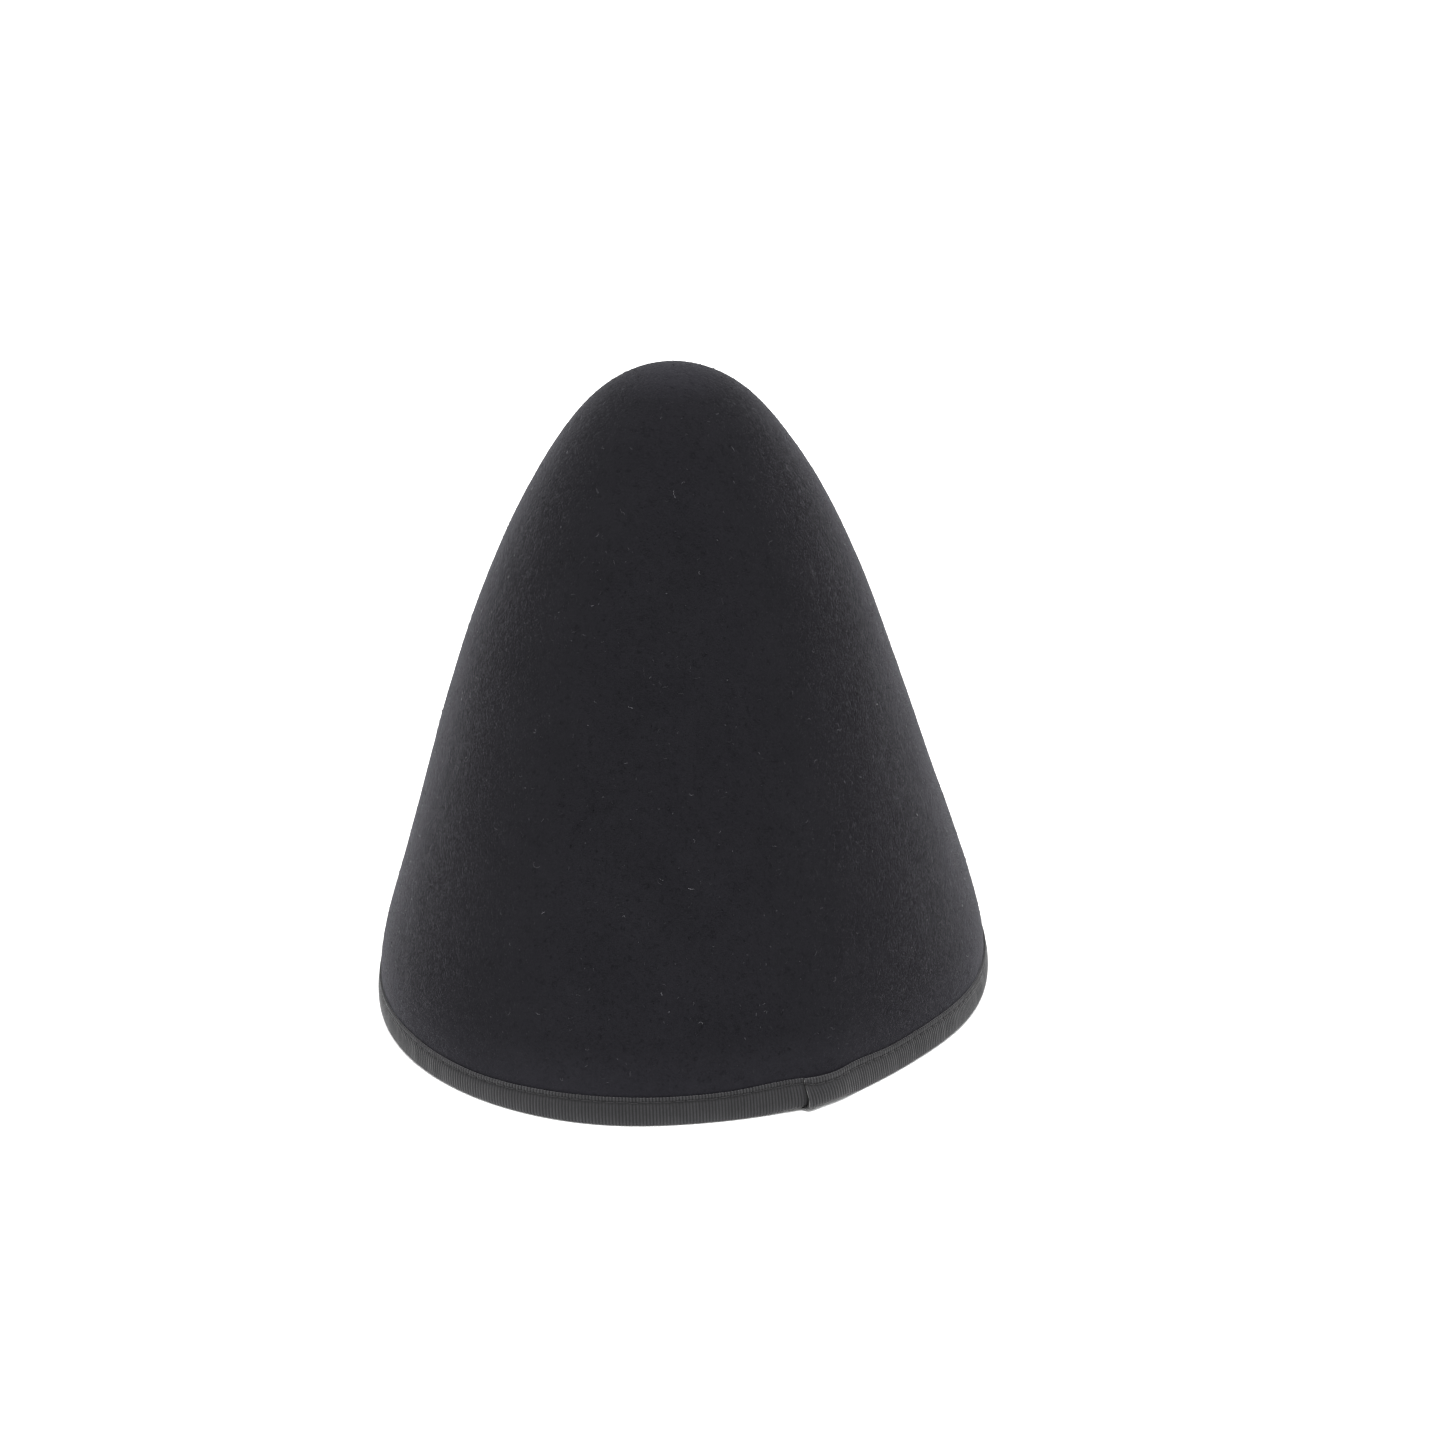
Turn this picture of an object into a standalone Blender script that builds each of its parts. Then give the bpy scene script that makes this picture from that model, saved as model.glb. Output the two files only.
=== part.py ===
"""Clown cone hat: one blocked felt cone, open below, with a ribbon binding folded over its rim.

The hat stands on its rim at z = 0, in metres. Y runs along the long axis of the oval head
opening and X across it. Turns are angles about +Z, counted from +X towards +Y.
"""
from collections import namedtuple

import bmesh
import bpy
import numpy as np

MM = 0.001

# Driving dimensions, in millimetres and degrees
HAT_HEIGHT = 196.0
FELT_WALL = 2.2
RIBBON_WALL = 0.5
SEAT_GAP = 0.35             # clear space between the ribbon and the felt
BAND_HEIGHT = 9.1           # ribbon's upper edge above the floor
OVAL = 0.051                # how far each half axis of the rim departs from the mean radius
LEAN_TURN = 216.5           # side that the crown leans to
STATIONS = 64               # sections around the hat, before those added at the lap
CROWN_RINGS = 14            # levels between the tip and the ribbon

# Where the ribbon's two ends lap: the end that runs on to larger turns lies on top
LAP_TURN = 329.2
LAP_STEP = 0.5              # how far the upper end stands out over the lower one
LAP_LENGTH = 6.0            # degrees of turn under the upper end
LAP_LIFT = 0.95             # how far the lower end's fold lies above the floor
LAP_LIFT_SPREAD = 6.5
LAP_STATIONS = (-9.0, -6.0, -4.0, -2.0, 0.0, 2.0, 4.0, 6.0, 9.0)
STEP_STATION = 0.12         # turn over which the ribbon steps onto the upper end

# The cone's section, from the tip to the rim. The lean is a level's shift towards LEAN_TURN.
Level = namedtuple("Level", "height radius lean")
LEVELS = (
    Level(height=HAT_HEIGHT, radius=0.0, lean=3.3),
    Level(height=189.2, radius=19.7, lean=3.2),
    Level(height=176.4, radius=31.6, lean=3.0),
    Level(height=156.8, radius=43.6, lean=2.7),
    Level(height=133.3, radius=54.4, lean=2.6),
    Level(height=105.8, radius=64.4, lean=2.7),
    Level(height=78.4, radius=73.1, lean=2.1),
    Level(height=53.0, radius=80.9, lean=1.2),
    Level(height=31.4, radius=87.4, lean=0.8),
    Level(height=13.7, radius=91.6, lean=0.5),
    Level(height=0.0, radius=92.9, lean=0.0),
)

# Places where the rim leaves the oval: a soft corner at the lap, between two flatter stretches,
# and a fuller one past them. Each fades out within its height above the floor.
Swell = namedtuple("Swell", "turn spread out fade")
SWELLS = (
    Swell(turn=333.0, spread=7.0, out=1.4, fade=16.0),
    Swell(turn=311.0, spread=16.0, out=-1.6, fade=35.0),
    Swell(turn=356.0, spread=16.0, out=-1.2, fade=35.0),
    Swell(turn=22.0, spread=16.0, out=0.6, fade=25.0),
)

# Places where the ribbon's upper edge rises over its mean height, or dips below it
Rise = namedtuple("Rise", "turn spread up")
EDGE_RISES = (
    Rise(turn=326.0, spread=8.5, up=1.25),
    Rise(turn=341.5, spread=7.0, up=0.95),
    Rise(turn=5.0, spread=14.0, up=0.5),
    Rise(turn=266.0, spread=16.0, up=-0.8),
)

# Half of the folded rim's section: inset from the cone's outer surface, height above the floor
Corner = namedtuple("Corner", "inset height")
FOLD_OUTSIDE = (
    Corner(inset=-RIBBON_WALL, height=4.5),
    Corner(inset=-RIBBON_WALL, height=1.6),
    Corner(inset=-0.15, height=0.6),
    Corner(inset=0.5, height=0.0),
)
FOLD_INSIDE = (
    Corner(inset=0.0, height=4.5),
    Corner(inset=0.0, height=1.7),
    Corner(inset=0.45, height=RIBBON_WALL),
)
FELT_EDGE = (
    Corner(inset=SEAT_GAP, height=4.6),
    Corner(inset=SEAT_GAP, height=1.8),
    Corner(inset=0.75, height=RIBBON_WALL + SEAT_GAP),
)
SHOULDER_LOW = 0.1          # the felt is pinched up to this height over the ribbon's upper edge
SHOULDER_HIGH = 1.0         # and has its full wall from this one


def natural_spline(xs, ys, x):
    """Smooth curve through the points, with no bend at its two ends."""
    gaps = np.diff(xs)
    slopes = np.diff(ys) / gaps
    count = len(xs)
    matrix = np.eye(count)
    right = np.zeros(count)
    for i in range(1, count - 1):
        matrix[i, i - 1:i + 2] = (gaps[i - 1], 2 * (gaps[i - 1] + gaps[i]), gaps[i])
        right[i] = 6 * (slopes[i] - slopes[i - 1])
    bends = np.linalg.solve(matrix, right)
    i = np.clip(np.searchsorted(xs, x) - 1, 0, count - 2)
    before, after, gap = x - xs[i], xs[i + 1] - x, gaps[i]
    curved = (bends[i] * after ** 3 + bends[i + 1] * before ** 3) / (6 * gap)
    straight = (ys[i] / gap - bends[i] * gap / 6) * after + (ys[i + 1] / gap - bends[i + 1] * gap / 6) * before
    return curved + straight


def turn_from(turns, centre):
    """Signed turn from the centre to each station, between -180 and 180 degrees."""
    return (turns - centre + 180) % 360 - 180


def hump(turns, centre, spread):
    """Bell curve around the hat, 1 at its centre."""
    return np.exp(-(turn_from(turns, centre) / spread) ** 2)


def cone_surface(turns, heights):
    """Points of the cone's outer surface, in millimetres.

    The square of the radius follows the table, as on a paraboloid, so the tip comes out round.
    """
    rising = LEVELS[::-1]
    levels = np.array([level.height for level in rising])
    squares = np.array([level.radius ** 2 for level in rising])
    leans = np.array([level.lean for level in rising])
    mean = np.sqrt(np.maximum(natural_spline(levels, squares, heights), 0))
    lean = natural_spline(levels, leans, heights)
    flare = 1 - heights / HAT_HEIGHT
    radius = mean * (1 - OVAL * flare * np.cos(2 * np.radians(turns)))
    for swell in SWELLS:
        fading = np.exp(-(heights / swell.fade) ** 2)
        radius = radius + swell.out * hump(turns, swell.turn, swell.spread) * fading
    x = radius * np.cos(np.radians(turns)) + lean * np.cos(np.radians(LEAN_TURN))
    y = radius * np.sin(np.radians(turns)) + lean * np.sin(np.radians(LEAN_TURN))
    return np.stack([x, y, heights], axis=1)


def cone_normals(turns, heights):
    """Outward unit normals of the cone's surface, from its slopes around and down."""
    turn_step, height_step = 0.05, 0.05
    around = cone_surface(turns + turn_step, heights) - cone_surface(turns - turn_step, heights)
    down = cone_surface(turns, heights - height_step) - cone_surface(turns, heights)
    normals = np.cross(down, around)
    return normals / np.linalg.norm(normals, axis=1, keepdims=True)


def rim_directions(turns):
    """Level unit directions that point straight out of the rim."""
    normals = cone_normals(turns, np.full(len(turns), BAND_HEIGHT))
    normals[:, 2] = 0
    return normals / np.linalg.norm(normals, axis=1, keepdims=True)


def rim_ring(turns, inset, heights, lift):
    """A ring of the folded rim: level insets, and a lift that fades towards the ribbon's edge."""
    flat = cone_surface(turns, heights)
    points = flat - rim_directions(turns) * np.reshape(inset, (-1, 1))
    points[:, 2] += lift * (1 - heights / BAND_HEIGHT).clip(0, 1)
    return points


def felt_stations():
    """Turns of the sections around the hat, closer together at the lap."""
    even = np.arange(STATIONS) * 360 / STATIONS
    near = np.abs(turn_from(even, LAP_TURN)) < LAP_STATIONS[-1] + 180 / STATIONS
    return np.sort(np.concatenate([even[~near], (LAP_TURN + np.array(LAP_STATIONS)) % 360]))


def band_edge(turns):
    """Height of the ribbon's upper edge."""
    heights = np.full(len(turns), BAND_HEIGHT)
    for rise in EDGE_RISES:
        heights = heights + rise.up * hump(turns, rise.turn, rise.spread)
    return heights


def lap_lift(turns):
    """How far the rim is lifted on the lower end of the ribbon."""
    return LAP_LIFT * hump(turns, LAP_TURN, LAP_LIFT_SPREAD)


def new_object(name, rings, closed_tips, material):
    """Skin the rings into one closed mesh object and give it its material.

    Without tips the last ring joins the first, as on the binding.
    """
    bm = bmesh.new()
    loops = [[bm.verts.new(point * MM) for point in ring] for ring in rings]
    pairs = list(zip(loops, loops[1:]))
    if closed_tips:
        pairs = pairs[1:-1]
        for tip, ring in ((loops[0], loops[1]), (loops[-1], loops[-2])):
            for a, b in zip(ring, ring[1:] + ring[:1]):
                bm.faces.new((tip[0], a, b))
    else:
        pairs.append((loops[-1], loops[0]))
    for upper, lower in pairs:
        for i in range(len(upper)):
            k = (i + 1) % len(upper)
            bm.faces.new((upper[i], lower[i], lower[k], upper[k]))
    bmesh.ops.recalc_face_normals(bm, faces=bm.faces)
    mesh = bpy.data.meshes.new(name)
    bm.to_mesh(mesh)
    bm.free()
    mesh.shade_smooth()
    mesh.set_sharp_from_angle(angle=np.radians(40))
    mesh.materials.append(material)
    obj = bpy.data.objects.new(name, mesh)
    bpy.context.collection.objects.link(obj)
    return obj


def cloth_material(name, color, roughness, sheen):
    """A dull black cloth with a soft sheen."""
    material = bpy.data.materials.new(name)
    material.use_nodes = True
    shader = material.node_tree.nodes["Principled BSDF"]
    shader.inputs["Base Color"].default_value = (*color, 1)
    shader.inputs["Roughness"].default_value = roughness
    shader.inputs["Metallic"].default_value = 0
    shader.inputs["Sheen Weight"].default_value = sheen
    return material


def felt_cone():
    """The felt body: outer surface down to the rim, round its cut edge, and back up inside."""
    turns = felt_stations()
    lift = lap_lift(turns)
    edge = band_edge(turns)
    shares = np.arange(1, CROWN_RINGS + 1) / (CROWN_RINGS + 0.5)
    crown_heights = [np.full(len(turns), HAT_HEIGHT * (1 - share ** 2)) for share in shares]

    def crown(inset):
        return [cone_surface(turns, h) - inset * cone_normals(turns, h) for h in crown_heights]

    def shoulder(low_inset, high_inset):
        return [rim_ring(turns, high_inset, edge + SHOULDER_HIGH, 0),
                rim_ring(turns, low_inset, edge + SHOULDER_LOW, 0)]

    def cut_edge(inside):
        rings = []
        for corner in FELT_EDGE:
            inset = FELT_WALL - corner.inset if inside else corner.inset
            rings.append(rim_ring(turns, inset, np.full(len(turns), corner.height), lift))
        return rings

    tip = cone_surface(turns, np.full(len(turns), HAT_HEIGHT))[:1]
    inner_tip = tip - (0, 0, FELT_WALL)
    outside = [tip, *crown(0), *shoulder(SEAT_GAP, 0), *cut_edge(False)]
    inside = [*cut_edge(True)[::-1], *shoulder(FELT_WALL - SEAT_GAP, FELT_WALL)[::-1],
              *crown(FELT_WALL)[::-1], inner_tip]
    felt = cloth_material("felt", color=(0.021, 0.020, 0.024), roughness=0.95, sheen=0.3)
    return new_object("felt_cone", outside + inside, True, felt)


def rim_binding():
    """The ribbon folded over the rim, with its upper end lapped over the lower one."""
    turns = np.sort(np.append(felt_stations(), LAP_TURN + STEP_STATION))
    past_lap = turn_from(turns, LAP_TURN)
    on_top = (past_lap > STEP_STATION / 2) * np.clip(2 - past_lap / LAP_LENGTH, 0, 1)
    step = LAP_STEP * on_top
    lift = np.where(past_lap > STEP_STATION / 2, 0, lap_lift(turns))
    edge = band_edge(turns)

    def side(corners, top_inset, inside, step_out):
        """Rings of one face of the folded ribbon, from its edge down to the middle of the fold."""
        rings = []
        levels = [(top_inset, edge)]
        levels += [(corner.inset, np.full(len(turns), corner.height)) for corner in corners]
        for inset, heights in levels:
            stepped = inset - step_out if inset < 0 else np.full(len(turns), inset)
            placed = FELT_WALL - stepped if inside else stepped
            rings.append(rim_ring(turns, placed, heights, lift))
        return rings

    outer = side(FOLD_OUTSIDE, -RIBBON_WALL, False, step)
    inner = side(FOLD_OUTSIDE, -RIBBON_WALL, True, step)
    slot_inner = side(FOLD_INSIDE, 0.0, True, 0)
    slot_outer = side(FOLD_INSIDE, 0.0, False, 0)
    rings = [*outer, *inner[::-1], *slot_inner, *slot_outer[::-1]]
    grosgrain = cloth_material("grosgrain", color=(0.050, 0.047, 0.053), roughness=0.8, sheen=0.2)
    return new_object("rim_binding", rings, False, grosgrain)


def build():
    """Clear the scene and model the hat."""
    for obj in list(bpy.data.objects):
        bpy.data.objects.remove(obj)
    felt_cone()
    rim_binding()


build()
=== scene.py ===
"""Looks of the clown cone hat: napped black felt, folded grosgrain binding, stitches and lint."""
from collections import namedtuple

import bpy
import numpy as np
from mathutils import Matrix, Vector


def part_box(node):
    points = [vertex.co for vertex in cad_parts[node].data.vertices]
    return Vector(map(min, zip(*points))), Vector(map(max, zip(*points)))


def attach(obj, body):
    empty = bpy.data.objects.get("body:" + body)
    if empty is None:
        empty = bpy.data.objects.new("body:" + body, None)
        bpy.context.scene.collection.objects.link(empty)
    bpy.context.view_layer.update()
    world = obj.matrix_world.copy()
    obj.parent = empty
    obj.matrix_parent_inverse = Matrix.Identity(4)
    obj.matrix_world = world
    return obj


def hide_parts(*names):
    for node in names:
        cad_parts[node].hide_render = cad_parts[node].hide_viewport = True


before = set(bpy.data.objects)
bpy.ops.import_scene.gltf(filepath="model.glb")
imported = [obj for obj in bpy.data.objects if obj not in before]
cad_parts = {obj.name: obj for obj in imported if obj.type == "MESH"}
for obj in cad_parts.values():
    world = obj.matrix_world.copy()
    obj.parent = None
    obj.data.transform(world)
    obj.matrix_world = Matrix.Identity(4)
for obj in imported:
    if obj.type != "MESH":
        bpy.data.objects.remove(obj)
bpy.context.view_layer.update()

MM = 0.001

# Sizes of the felt and the ribbon, in millimetres and in degrees of turn about +Z, counted from
# +X towards +Y. The height comes from the frame.
HAT_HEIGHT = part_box("felt_cone")[1].z / MM
FELT_WALL = 2.2
BAND_HEIGHT = 9.1           # ribbon's upper edge above the floor
OVAL = 0.051                # share by which each half axis of the rim departs from the mean radius
LEAN_TURN = 216.5           # side that the crown leans to
LAP_TURN = 329.2            # where the ribbon's upper end starts; it runs on to larger turns
LAP_STEP = 0.55             # how far the upper end stands out over the lower one
LAP_LENGTH = 6.0            # degrees of turn under the upper end
LAP_LIFT = 0.95             # how far the lower end's fold lies above the floor
LAP_LIFT_SPREAD = 6.5       # degrees over which it comes down again
LAP_FLARE = 1.4             # how far the upper end's fold stands out at its corner
LAP_FLARE_SPREAD = 2.0      # degrees over which it falls back in

# The cone's mean radius and how far it leans, from the tip to the rim
Level = namedtuple("Level", "height radius lean")
LEVELS = (
    Level(height=HAT_HEIGHT, radius=0.0, lean=3.3),
    Level(height=189.2, radius=19.7, lean=3.2),
    Level(height=176.4, radius=31.6, lean=3.0),
    Level(height=156.8, radius=43.6, lean=2.7),
    Level(height=133.3, radius=54.4, lean=2.6),
    Level(height=105.8, radius=64.4, lean=2.7),
    Level(height=78.4, radius=73.1, lean=2.1),
    Level(height=53.0, radius=80.9, lean=1.2),
    Level(height=31.4, radius=87.4, lean=0.8),
    Level(height=13.7, radius=91.6, lean=0.5),
    Level(height=0.0, radius=92.9, lean=0.0),
)

# Places where the rim bulges out or in. Each one dies out over the height of its fade.
Swell = namedtuple("Swell", "turn spread out fade")
SWELLS = (
    Swell(turn=333.0, spread=7.0, out=1.4, fade=16.0),
    Swell(turn=311.0, spread=16.0, out=-1.6, fade=35.0),
    Swell(turn=356.0, spread=16.0, out=-1.2, fade=35.0),
    Swell(turn=22.0, spread=16.0, out=0.6, fade=25.0),
)

# Places where the ribbon's upper edge rises over its mean height, or dips below it
Rise = namedtuple("Rise", "turn spread up")
EDGE_RISES = (
    Rise(turn=326.0, spread=8.5, up=1.25),
    Rise(turn=341.5, spread=7.0, up=0.95),
    Rise(turn=5.0, spread=14.0, up=0.5),
    Rise(turn=266.0, spread=16.0, up=-0.8),
)
HIGHEST_EDGE = BAND_HEIGHT + max(rise.up for rise in EDGE_RISES)


def spline_weights(knots, x):
    """Weights that turn values at the knots into values at x, along a natural cubic spline."""
    knots = np.asarray(knots, float)
    x = np.asarray(x, float)
    count = len(knots)
    gaps = np.diff(knots)
    matrix = np.eye(count)
    right = np.zeros((count, count))
    for i in range(1, count - 1):
        matrix[i, i - 1:i + 2] = (gaps[i - 1], 2 * (gaps[i - 1] + gaps[i]), gaps[i])
        right[i, i - 1:i + 2] = (6 / gaps[i - 1], -6 / gaps[i - 1] - 6 / gaps[i], 6 / gaps[i])
    bends = np.linalg.solve(matrix, right)
    values = np.eye(count)
    i = np.clip(np.searchsorted(knots, x) - 1, 0, count - 2)
    before = (x - knots[i])[..., None]
    after = (knots[i + 1] - x)[..., None]
    gap = gaps[i][..., None]
    curved = (bends[i] * after ** 3 + bends[i + 1] * before ** 3) / (6 * gap)
    low = (values[i] / gap - bends[i] * gap / 6) * after
    high = (values[i + 1] / gap - bends[i + 1] * gap / 6) * before
    return curved + low + high


def turn_from(turns, centre):
    """Signed turn from the centre, between -180 and 180 degrees."""
    return (turns - centre + 180) % 360 - 180


def hump(turns, centre, spread):
    """Bell curve around the hat, 1 at its centre."""
    return np.exp(-(turn_from(turns, centre) / spread) ** 2)


def smooth(x):
    """0 below 0, 1 above 1, and three x squared less two x cubed between them."""
    x = np.clip(x, 0, 1)
    return x * x * (3 - 2 * x)


def unit(vectors):
    """The vectors at length 1."""
    return vectors / np.maximum(np.linalg.norm(vectors, axis=-1, keepdims=True), 1e-12)


def cone_surface(turns, heights):
    """Points of the cone's outer surface, in millimetres.

    The square of the radius is a natural spline of height through the table, times an oval that
    grows towards the rim, plus the rim's swells; each level is shifted by its lean.
    """
    turns, heights = np.broadcast_arrays(turns, heights)
    rising = LEVELS[::-1]
    weights = spline_weights([level.height for level in rising], heights)
    mean = np.sqrt(np.maximum(weights @ np.array([level.radius ** 2 for level in rising]), 0))
    lean = weights @ np.array([level.lean for level in rising])
    flare = 1 - heights / HAT_HEIGHT
    radius = mean * (1 - OVAL * flare * np.cos(2 * np.radians(turns)))
    for swell in SWELLS:
        fading = np.exp(-(heights / swell.fade) ** 2)
        radius = radius + swell.out * hump(turns, swell.turn, swell.spread) * fading
    x = radius * np.cos(np.radians(turns)) + lean * np.cos(np.radians(LEAN_TURN))
    y = radius * np.sin(np.radians(turns)) + lean * np.sin(np.radians(LEAN_TURN))
    return np.stack([x, y, heights], axis=-1)


def cone_normals(turns, heights):
    """Outward unit normals: the cross product of the slopes down and around."""
    turns, heights = np.broadcast_arrays(turns, heights)
    step = 0.05
    around = cone_surface(turns + step, heights) - cone_surface(turns - step, heights)
    down = cone_surface(turns, heights - step) - cone_surface(turns, heights)
    return unit(np.cross(down, around))


def rim_directions(turns):
    """Level unit directions that point straight out of the rim."""
    normals = cone_normals(turns, np.full(np.shape(turns), BAND_HEIGHT))
    normals[..., 2] = 0
    return unit(normals)


def band_edge(turns):
    """Height of the ribbon's upper edge."""
    return BAND_HEIGHT + sum(rise.up * hump(turns, rise.turn, rise.spread) for rise in EDGE_RISES)


def lumps(rng, count, shortest, longest):
    """A random sum of plane waves in space, as a function of points in millimetres.

    Each wave is the cosine of a random direction times the point, divided by a random length,
    plus a random phase. The sum has a root mean square of 1 and no seam.
    """
    directions = unit(rng.normal(size=(count, 3)))
    waves = directions * (2 * np.pi / rng.uniform(shortest, longest, (count, 1)))
    phases = rng.uniform(0, 2 * np.pi, count)

    def field(points):
        return np.cos(points @ waves.T + phases).sum(axis=-1) * np.sqrt(2 / count)

    return field


BROAD_STRAY = 0.10          # how far the felt strays from the true cone in broad lumps
CLOSE_STRAY = 0.018         # and in close ones
PINCH = 0.22                # how far the felt is pressed in at the ribbon's edge
PINCH_ROLL = 2.2            # height over which it swells out again above the edge
LUMPS_RANDOM = np.random.default_rng(5)
BROAD_LUMPS = lumps(LUMPS_RANDOM, count=30, shortest=30, longest=90)
CLOSE_LUMPS = lumps(LUMPS_RANDOM, count=60, shortest=6, longest=16)


def felt_strays(points, above_edge):
    """How far the felt stands out of the true cone, from nothing at the ribbon's edge upwards."""
    stray = BROAD_STRAY * BROAD_LUMPS(points) + CLOSE_STRAY * CLOSE_LUMPS(points)
    return stray * smooth(above_edge / PINCH_ROLL)


def slant_table():
    """Heights, distances from the tip and radii along the mean side, closely spaced."""
    heights = HAT_HEIGHT * (1 - np.linspace(0, 1, 2000) ** 2)
    rising = LEVELS[::-1]
    weights = spline_weights([level.height for level in rising], heights)
    radii = np.sqrt(np.maximum(weights @ np.array([level.radius ** 2 for level in rising]), 0))
    slants = np.concatenate([[0], np.cumsum(np.hypot(np.diff(heights), np.diff(radii)))])
    return heights, slants, radii


SIDE_HEIGHTS, SIDE_SLANTS, SIDE_RADII = slant_table()


def height_at(slant):
    """Height of the mean side at a distance from the tip."""
    return np.interp(slant, SIDE_SLANTS, SIDE_HEIGHTS)


def slant_at(height):
    """Distance from the tip of the mean side at a height."""
    return np.interp(-height, -SIDE_HEIGHTS, SIDE_SLANTS)


def new_mesh(name, points_mm, faces, material, values=None, uv=None):
    """Make an object from points in millimetres and a list of face arrays, and let it ride.

    values are numbers or directions at the points, by attribute name, and uv is a pair of
    numbers at each.
    """
    mesh = bpy.data.meshes.new(name)
    sizes = np.concatenate([np.full(len(part), part.shape[1]) for part in faces])
    corners = np.concatenate([part.ravel() for part in faces]).astype(np.int32)
    mesh.vertices.add(len(points_mm))
    mesh.vertices.foreach_set("co", (points_mm * MM).astype(np.float32).ravel())
    mesh.loops.add(len(corners))
    mesh.loops.foreach_set("vertex_index", corners)
    mesh.polygons.add(len(sizes))
    starts = np.concatenate([[0], np.cumsum(sizes)[:-1]]).astype(np.int32)
    mesh.polygons.foreach_set("loop_start", starts)
    mesh.polygons.foreach_set("loop_total", sizes.astype(np.int32))
    if uv is not None:
        layer = mesh.uv_layers.new(name="cloth")
        layer.data.foreach_set("uv", uv[corners].astype(np.float32).ravel())
    for key, numbers in (values or {}).items():
        kind, field = ("FLOAT_VECTOR", "vector") if numbers.ndim > 1 else ("FLOAT", "value")
        attribute = mesh.attributes.new(key, kind, "POINT")
        attribute.data.foreach_set(field, numbers.astype(np.float32).ravel())
    mesh.update(calc_edges=True)
    mesh.shade_smooth()
    mesh.materials.append(material)
    obj = bpy.data.objects.new(name, mesh)
    bpy.context.scene.collection.objects.link(obj)
    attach(obj, "root")
    return obj


def spindles(paths, radii, sides, side_hint):
    """Closed hairs along paths: a ring around each inner path point, and a point at each end.

    paths is hairs by points by 3, and radii is hairs by inner points. Each ring is the path point
    plus the radius times the cosine and sine of an even turn about the path's direction.
    """
    hairs, length = paths.shape[:2]
    inner = length - 2
    along = unit(paths[:, 2:] - paths[:, :-2])
    across = unit(np.cross(along, side_hint[:, None, :]))
    other = np.cross(along, across)
    angle = 2 * np.pi * np.arange(sides) / sides
    ring = across[:, :, None] * np.cos(angle)[:, None] + other[:, :, None] * np.sin(angle)[:, None]
    rings = paths[:, 1:-1, None] + radii[:, :, None, None] * ring
    points = np.concatenate([paths[:, :1], rings.reshape(hairs, -1, 3), paths[:, -1:]], axis=1)
    size = points.shape[1]
    base = (np.arange(hairs) * size)[:, None, None]
    k = np.arange(sides)
    after = (k + 1) % sides
    start = np.stack([np.zeros(sides, int), 1 + after, 1 + k], axis=-1)
    last = 1 + (inner - 1) * sides
    end = np.stack([np.full(sides, size - 1), last + k, last + after], axis=-1)
    caps = np.concatenate([start, end])[None] + base
    faces = [caps.reshape(-1, 3)]
    if inner > 1:
        row = 1 + np.arange(inner - 1)[:, None] * sides
        quads = np.stack([row + k, row + after, row + sides + after, row + sides + k], axis=-1)
        faces.append((quads.reshape(1, -1, 4) + base).reshape(-1, 4))
    return points.reshape(-1, 3), faces


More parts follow.
